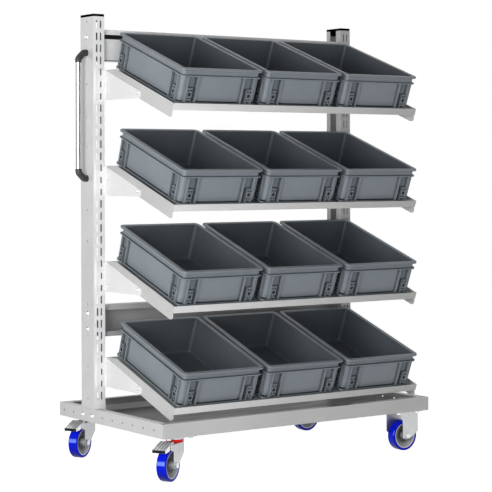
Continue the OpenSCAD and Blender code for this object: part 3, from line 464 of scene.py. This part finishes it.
def round_edges(ob, width, angle, weight=50):
    """Rounds the edges sharper than the angle, in degrees, and evens out the shading round them."""
    soft = ob.modifiers.new("edge", "BEVEL")
    soft.width = width * MM
    soft.segments = 2
    soft.limit_method = "ANGLE"
    soft.angle_limit = math.radians(angle)
    even = ob.modifiers.new("even", "WEIGHTED_NORMAL")
    even.keep_sharp = False
    even.weight = weight


def dress(name, look):
    """Gives a CAD node its look and rounds its edges, after joining the flat triangles of each face."""
    ob = NODES[name]
    ob.data.materials.clear()
    ob.data.materials.append(look)
    width = by_start(EDGE, name)
    if width:
        weld = ob.modifiers.new("weld", "WELD")
        weld.merge_threshold = 1e-6
        flat = ob.modifiers.new("flat", "DECIMATE")
        flat.decimate_type = "DISSOLVE"
        flat.angle_limit = math.radians(1.0)
        round_edges(ob, width, 32, 80)


slot_of = {part["node"]: part["material_slot"] for part in frame["record"]["subparts"]}
for node_name in NODES:
    if not node_name.startswith("bin_"):
        dress(node_name, by_start(LOOK_OF_NODE, node_name, LOOK_OF_SLOT[slot_of[node_name]]))


# Bins, in mm: each stands on its tray with its front at y = 0
SIDES = ("short", "long", "short", "long")
ARC = 6  # steps round each corner
PANEL = {"short": 82.0, "long": 134.0}  # half width of the plain panel on each kind of side
RIB, PAD_FROM, PAD_W, OUTER_RIB = 4.0, 18.0, 18.0, 37.0  # measured along a side from the panel's end
BLOCK_LOW, BLOCK_TOP = 17.5, 94.2
PAD_LOW, PAD_TOP, PAD_ROWS_TOP = 13.3, 58.5, 55.5
PROUD = -6.0  # how far ribs and pads stand proud of the corner posts
PIT = 5.0  # how deep the holes in the pads are
POST_INSET, POST_DRAFT = 10.5, 1.5 / 77.0
BACK_INSET, BACK_LOW, BACK_DRAFT = 19.2, 9.4, 4.7 / 88.6


def outline(z, inset, r):
    """A ring round the bin at height z, inset from the rim's line, with corners of radius r."""
    pts = []
    w, l = BIN_W / 2 - inset - r, BIN_L / 2 - inset - r
    for i, (sx, sy) in enumerate(((1, 1), (-1, 1), (-1, -1), (1, -1))):
        for k in range(ARC + 1):
            a = math.radians(90 * i + 90 * k / ARC)
            pts.append(Vector((sx * w + r * math.cos(a), sy * l + r * math.sin(a) + BIN_L / 2, z)) * MM)
    return pts


def loft(bm, rings, smooth=True):
    """Joins rings of equal length into a closed skin with flat ends, and gives its bands of faces."""
    made = [[bm.verts.new(p) for p in ring] for ring in rings]
    n = len(made[0])
    bands = [[bm.faces.new((a[i], a[(i + 1) % n], b[(i + 1) % n], b[i])) for i in range(n)]
             for a, b in zip(made, made[1:])]
    for band in bands:
        for f in band:
            f.smooth = smooth
    bm.faces.new(list(reversed(made[0])))
    bands.append([bm.faces.new(made[-1])])
    return bands


def face_out(z):
    """Inset of the corner posts' faces from the rim's line, less towards the top."""
    return POST_INSET - POST_DRAFT * (z - BLOCK_LOW)


def face_back(z):
    """An inset that lies inside the wall, between the skin and the hollow."""
    return BACK_INSET - BACK_DRAFT * (z - BACK_LOW)


def on_side(side, u, inset, z):
    """A point on one side of the bin: u along the side from its middle, inset from the rim's line."""
    if side == 0:
        p = (u, inset)
    elif side == 1:
        p = (BIN_W / 2 - inset, BIN_L / 2 + u)
    elif side == 2:
        p = (-u, BIN_L - inset)
    else:
        p = (inset - BIN_W / 2, BIN_L / 2 - u)
    return Vector((p[0], p[1], z)) * MM


def outward(side):
    """A vector that points out of one side of the bin."""
    return on_side(side, 0, 0, 0) - on_side(side, 0, 1, 0)


def block(bm, side, line, z0, z1, shade=0):
    """A standing block: its front follows the line of (u, step back from the corner posts' face)."""
    rings = []
    for z in (z0, z1):
        front = [(u, face_out(z) + step) for u, step in line]
        plan = [(line[0][0], face_back(z))] + front + [(line[-1][0], face_back(z))]
        rings.append([on_side(side, u, i, z) for u, i in plan])
    for band in loft(bm, rings, False):
        for f in band:
            f.material_index = shade


def corner_post(bm, sx, sy, a, b):
    """The rounded post at a corner, from a on the short side to b on the long side."""
    rings = []
    r = 10.0
    for z in (BLOCK_LOW, BLOCK_TOP):
        out = face_out(z)
        w, l = BIN_W / 2 - out, BIN_L / 2 - out
        wall = face_back(z) - out
        pts = [(a, l - wall), (a, l)]
        for k in range(ARC + 1):
            t = math.radians(90 - 90 * k / ARC)
            pts.append((w - r + r * math.cos(t), l - r + r * math.sin(t)))
        pts += [(w, b), (w - wall, b), (w - wall, l - wall - 1), (w - wall - 1, l - wall)]
        if sx * sy < 0:
            pts.reverse()
        rings.append([Vector((sx * x, sy * y + BIN_L / 2, z)) * MM for x, y in reversed(pts)])
    loft(bm, rings, False)


def shell(bm):
    """The bin's skin, up its outside and down its inside, from rings of (height, inset, corner radius)."""
    foot = [(0.0, 21.0, 8.0), (1.5, 19.0, 9.0), (4.0, 18.0, 10.0), (7.0, 18.0, 10.0)]
    foot_lip = [(7.0, 7.0, 13.0), (7.8, 6.0, 14.0), (12.5, 6.0, 14.0), (13.4, 7.0, 13.0)]
    skin = [(13.4, 18.2, 10.0), (94.0, 13.9, 10.0)]
    lower_lip = [(94.0, 3.0, 16.0), (94.8, 2.0, 17.0), (97.2, 2.0, 17.0), (98.0, 3.0, 16.0)]
    band = [(98.0, 9.5, 11.0), (114.0, 9.5, 11.0)]
    upper_lip = [(114.0, 1.0, 17.0), (115.0, 0.0, 18.0), (118.6, 0.0, 18.0), (BIN_H, 1.4, 17.0)]
    edge = [(BIN_H, 12.4, 9.0), (118.6, 13.8, 8.0)]
    hollow = [(9.0, 20.4, 9.0), (5.0, 22.0, 9.0), (3.4, 25.0, 8.0), (3.0, 29.0, 8.0)]
    profile = foot + foot_lip + skin + lower_lip + band + upper_lip + edge + hollow
    first_skin = len(foot + foot_lip) - 1
    ledge = len(foot + foot_lip + skin + lower_lip) - 1
    first_inside = len(profile) - len(hollow) - 1
    # Bands seen only in the channels between blocks, and the ledge under the band, take painted shade
    # (material 1); the inside takes painted shade too (material 2)
    channel_shade_bands = (first_skin, first_skin + 1, first_skin + 2, ledge)
    for i, faces in enumerate(loft(bm, [outline(*ring) for ring in profile])):
        for f in faces:
            if i in channel_shade_bands:
                f.material_index = 1
            elif i >= first_inside:
                f.material_index = 2


def side_blocks(bm, side):
    """A side's plain panel and, at each of its ends, two ribs with a swell between them."""
    p = PANEL[SIDES[side]]
    block(bm, side, [(-p, 3.0), (15.0 - p, -3.0), (p - 15.0, -3.0), (p, 3.0)], BLOCK_LOW, BLOCK_TOP)
    for s in (-1, 1):
        for u in (p, p + OUTER_RIB):
            rib = sorted(((s * u, PROUD), (s * (u + RIB), PROUD)))
            block(bm, side, rib, PAD_LOW - 0.5, BLOCK_TOP)
        # The swell between the ribs takes the fourth material, painted shade
        swell = [(p + 6.0, 5.0), (p + 12.0, 0.0), (p + 28.0, -1.0), (p + 36.0, 4.0)]
        block(bm, side, sorted((s * u, step) for u, step in swell), PAD_TOP + 2.0, BLOCK_TOP, 3)


def bin_mesh():
    bm = bmesh.new()
    shell(bm)
    for side in range(4):
        side_blocks(bm, side)
    short_start, long_start = (PANEL[kind] + OUTER_RIB + RIB for kind in ("short", "long"))
    for sx in (-1, 1):
        for sy in (-1, 1):
            corner_post(bm, sx, sy, short_start, long_start)
    bmesh.ops.recalc_face_normals(bm, faces=bm.faces)
    # The bin's materials: its plastic, then painted shade for the channels, the inside and the swells
    return as_mesh(bm, "bin", (BIN, BIN_CHANNEL_SHADE, BIN_INSIDE_SHADE, BIN_SWELL_SHADE))


def as_mesh(bm, name, looks):
    me = bpy.data.meshes.new(name)
    bm.to_mesh(me)
    bm.free()
    for look in looks:
        me.materials.append(look)
    return me


def facing(bm, points, way, shade=0):
    """A face through the points that looks the given way."""
    f = bm.faces.new([bm.verts.new(p) for p in points])
    f.normal_update()
    if f.normal.dot(way) < 0:
        f.normal_flip()
    f.material_index = shade


def pit(bm, side, ua, ub, za, zb, w, h, square):
    """A cell of a pad with a hole of the given width and height in its middle. The hole is an octagon whose
    slanting corners reach out by the factor square."""
    um, zm = (ua + ub) / 2, (za + zb) / 2
    cell = [(ub, zm), (ub, zb), (um, zb), (ua, zb), (ua, zm), (ua, za), (um, za), (ub, za)]
    hole = []
    for k in range(8):
        c, s = math.cos(k * math.pi / 4), math.sin(k * math.pi / 4)
        grow = square if k % 2 else 1.0
        hole.append((um + w / 2 * c * grow, zm + h / 2 * s * grow))
    out = outward(side)
    axis = on_side(side, um, 0, zm)

    def at(q, deep):
        return on_side(side, q[0], face_out(q[1]) + PROUD + deep, q[1])

    # The hole's walls and bottom take the second material, painted shade
    for k in range(8):
        j = (k + 1) % 8
        facing(bm, [at(cell[k], 0), at(cell[j], 0), at(hole[j], 0), at(hole[k], 0)], out)
        way = axis - (at(hole[k], 2) + at(hole[j], 2)) / 2
        way -= out * (way.dot(out) / out.dot(out))
        facing(bm, [at(hole[k], 0), at(hole[j], 0), at(hole[j], PIT), at(hole[k], PIT)], way, 1)
    facing(bm, [at(q, PIT) for q in hole], out, 1)


# Rows of a pad's holes: from z, to z, how many, width, height and square
PAD_ROWS = (
    (PAD_LOW, 20.5, 1, 12.0, 4.4, 1.25),
    (20.5, 30.5, 2, 5.4, 5.4, 1.1),
    (30.5, 45.5, 1, 11.4, 11.4, 1.0),
    (45.5, PAD_ROWS_TOP, 2, 5.4, 5.4, 1.1),
)


def pad(bm, side, u0, u1):
    """One pad from u0 to u1 along a side: rows of holes, a plain strip above them, and its four edges."""
    for za, zb, n, w, h, square in PAD_ROWS:
        for i in range(n):
            pit(bm, side, u0 + (u1 - u0) * i / n, u0 + (u1 - u0) * (i + 1) / n, za, zb, w, h, square)
    along = on_side(side, 1, 0, 0) - on_side(side, 0, 0, 0)

    def at(u, z, front):
        return on_side(side, u, face_out(z) + PROUD if front else face_back(z), z)

    strip = [at(u0, PAD_ROWS_TOP, 1), at(u1, PAD_ROWS_TOP, 1), at(u1, PAD_TOP, 1), at(u0, PAD_TOP, 1)]
    facing(bm, strip, outward(side))
    for z, way in ((PAD_LOW, Vector(DOWN)), (PAD_TOP, Vector(UP))):
        facing(bm, [at(u0, z, 1), at(u1, z, 1), at(u1, z, 0), at(u0, z, 0)], way)
    for u, way in ((u0, -along), (u1, along)):
        facing(bm, [at(u, PAD_LOW, 1), at(u, PAD_TOP, 1), at(u, PAD_TOP, 0), at(u, PAD_LOW, 0)], way)


def pad_mesh():
    """A bin's eight pads, which stand out from its wall near the foot."""
    bm = bmesh.new()
    for side, kind in enumerate(SIDES):
        for s in (-1, 1):
            u0, u1 = sorted((s * (PANEL[kind] + PAD_FROM), s * (PANEL[kind] + PAD_FROM + PAD_W)))
            pad(bm, side, u0, u1)
    bmesh.ops.remove_doubles(bm, verts=bm.verts, dist=0.01 * MM)
    # The pads' faces and their holes both take painted shade
    return as_mesh(bm, "pads", (BIN_PAD_SHADE, BIN_PIT_SHADE))


def placed(name, mesh, spot):
    ob = bpy.data.objects.new(name, mesh)
    bpy.context.scene.collection.objects.link(ob)
    ob.matrix_world = spot
    return ob


BIN_MESH, PAD_MESH = bin_mesh(), pad_mesh()
for shelf in range(4):
    tray_spot = Vector((MID_X, TRAY_Y, TOP_TRAY_Z - shelf * SHELF_PITCH)) * MM
    for place, word in ((-1, "left"), (0, "middle"), (1, "right")):
        name = "bin_%d_%s" % (shelf + 1, word)
        spot = (Matrix.Translation(tray_spot)
                @ Matrix.Rotation(TILT, 4, "X")
                @ Matrix.Translation((place * BIN_PITCH * MM, 0, 0)))
        for mesh, part in ((BIN_MESH, "shell"), (PAD_MESH, "pads")):
            ob = placed("%s_%s" % (name, part), mesh, spot)
            if part == "shell":
                round_edges(ob, 0.8, 50)
                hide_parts(name)
            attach(ob, name)


def hub_mesh():
    """A turned hub: its dish runs in one curve from the rim down to the core, on both sides."""
    side = [(HUB_R - 0.4, RIM_HALF), (HUB_R - 3.4, RIM_HALF), (HUB_R - 4.2, RIM_HALF - 0.8),
            (HUB_R - 6.0, RIM_HALF - 4.6), (HUB_R - 10.0, RIM_HALF - 8.2), (CORE_R + 6.0, 5.2),
            (CORE_R + 1.2, 4.6), (CORE_R + 0.2, 5.4), (CORE_R, CORE_HALF - 0.8), (CORE_R - 0.8, CORE_HALF),
            (BORE_R, CORE_HALF)]
    edge = [(HUB_R, 0.4 - RIM_HALF), (HUB_R, RIM_HALF - 0.4)]
    profile = side + [(r, -y) for r, y in reversed(side)] + edge
    bm = bmesh.new()
    steps = 72
    rings = [[bm.verts.new(Vector((r * math.cos(a), y, r * math.sin(a))) * MM) for r, y in profile]
             for a in (2 * math.pi * i / steps for i in range(steps))]
    n = len(profile)
    for i in range(steps):
        one, two = rings[i], rings[(i + 1) % steps]
        for k in range(n):
            f = bm.faces.new((one[k], one[(k + 1) % n], two[(k + 1) % n], two[k]))
            f.smooth = True
    bmesh.ops.recalc_face_normals(bm, faces=bm.faces)
    return as_mesh(bm, "hub", (HUB,))


HUB_MESH = hub_mesh()
for word, y in WHEEL_Y.items():
    pin = Matrix.Translation(Vector((SWIVEL_X, y, WHEEL_R)) * MM) @ Matrix.Rotation(TRAIL_TURN, 4, "Z")
    swivel = pin @ Matrix.Translation((TRAIL * MM, 0, 0))
    fixed = Matrix.Translation(Vector((FIXED_X, y, WHEEL_R)) * MM)
    for kind, spot in (("", swivel), ("fixed_", fixed)):
        name = kind + "hub_" + word
        ob = placed(name + "_dish", HUB_MESH, spot)
        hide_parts(name)
        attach(ob, kind + "wheel_" + word)


def seen_directly(tree):
    """1 on the rays that show the background: from the camera, off metal or through glass."""
    path = tree.nodes.new("ShaderNodeLightPath")
    total = path.outputs["Is Camera Ray"]
    for kind in ("Is Glossy Ray", "Is Transmission Ray"):
        either = tree.nodes.new("ShaderNodeMath")
        either.operation = "MAXIMUM"
        tree.links.new(total, either.inputs[0])
        tree.links.new(path.outputs[kind], either.inputs[1])
        total = either.outputs[0]
    return total


# The floor's glow on the object, and on the rays that show it
FLOOR_GLOW, FLOOR_SEEN = 0.10, 0.88


def floor_look():
    """Pale studio floor, seen as white, that keeps the object's shadow."""
    m = Look("floor", (0.86, 0.86, 0.86), 0.85, Specular_IOR_Level=0.1)
    m.colour(m.mix(m.span(m.noise(2.0, 3.0), 0.3, 0.7), (0.85, 0.85, 0.85), (0.87, 0.87, 0.87)))
    m.set("Emission Color", (1.0, 1.0, 1.0, 1.0))
    glow = m.span(seen_directly(m.tree), 0.0, 1.0, FLOOR_GLOW, FLOOR_SEEN)
    m.link(glow, m.bsdf.inputs["Emission Strength"])
    m.bump((m.noise(60.0, 4.0), 0.02, 0.5))
    return m.mat


bpy.ops.mesh.primitive_plane_add(size=60.0, location=(0, 0, 0))
floor = bpy.context.active_object
floor.name = "floor"
floor.data.materials.append(floor_look())


def studio_world():
    """A world that is bright near the horizon and darker overhead, and is seen as plain white."""
    world = bpy.data.worlds.new("studio")
    world.use_nodes = True
    tree = world.node_tree
    sky = tree.nodes["Background"]
    sky.inputs["Color"].default_value = (1.0, 1.0, 1.0, 1.0)
    way = tree.nodes.new("ShaderNodeTexCoord")
    parts = tree.nodes.new("ShaderNodeSeparateXYZ")
    fade = tree.nodes.new("ShaderNodeMapRange")
    for key, value in (("From Min", 0.0), ("From Max", 0.60), ("To Min", 0.52), ("To Max", 0.05)):
        fade.inputs[key].default_value = value
    tree.links.new(way.outputs["Generated"], parts.inputs[0])
    tree.links.new(parts.outputs["Z"], fade.inputs["Value"])
    tree.links.new(fade.outputs["Result"], sky.inputs["Strength"])
    white = tree.nodes.new("ShaderNodeBackground")
    white.inputs["Color"].default_value = (1.0, 1.0, 1.0, 1.0)
    white.inputs["Strength"].default_value = 1.0
    pick = tree.nodes.new("ShaderNodeMixShader")
    tree.links.new(seen_directly(tree), pick.inputs["Fac"])
    tree.links.new(sky.outputs[0], pick.inputs[1])
    tree.links.new(white.outputs[0], pick.inputs[2])
    tree.links.new(pick.outputs[0], tree.nodes["World Output"].inputs["Surface"])
    return world


def lamp(name, place, aim, size, watts):
    """A soft rectangular lamp that looks from its place at its aim."""
    data = bpy.data.lights.new(name, "AREA")
    data.shape = "RECTANGLE"
    data.size, data.size_y = size
    data.energy = watts
    ob = bpy.data.objects.new(name, data)
    ob.location = place
    ob.rotation_mode = "QUATERNION"
    ob.rotation_quaternion = (Vector(aim) - Vector(place)).to_track_quat("-Z", "Y")
    bpy.context.scene.collection.objects.link(ob)


bpy.context.scene.world = studio_world()
lamp("key", (-2.9, -1.7, 0.95), (-0.2, 0, 0.70), (1.6, 1.5), 61.0)
lamp("front", (-1.6, -3.4, 1.1), (-0.35, 0, 0.75), (1.2, 1.6), 18.0)
lamp("back", (-1.5, 3.6, 2.2), (0, 0, 0.8), (2.4, 2.0), 14.0)

# The photograph's camera: its place in metres, its turns in degrees, its sensor and lens in mm, and its
# shift as a share of the sensor's width
CAMERA_AT = (-3.19127, -4.52303, 0.92918)
HEADING, PITCH, ROLL = -35.319, 0.091, -0.175
SENSOR, LENS, SHIFT = 36.0, 123.24, -0.1474

cam_data = bpy.data.cameras.new("camera")
cam_data.sensor_width = SENSOR
cam_data.lens = LENS
cam_data.shift_y = SHIFT
cam_data.clip_end = 200.0
cam = placed("camera", cam_data, (Matrix.Translation(CAMERA_AT)
                                  @ Matrix.Rotation(math.radians(HEADING), 4, "Z")
                                  @ Matrix.Rotation(math.radians(90.0 - PITCH), 4, "X")
                                  @ Matrix.Rotation(math.radians(ROLL), 4, "Z")))
bpy.context.scene.camera = cam
bpy.context.scene.view_settings.view_transform = "Standard"
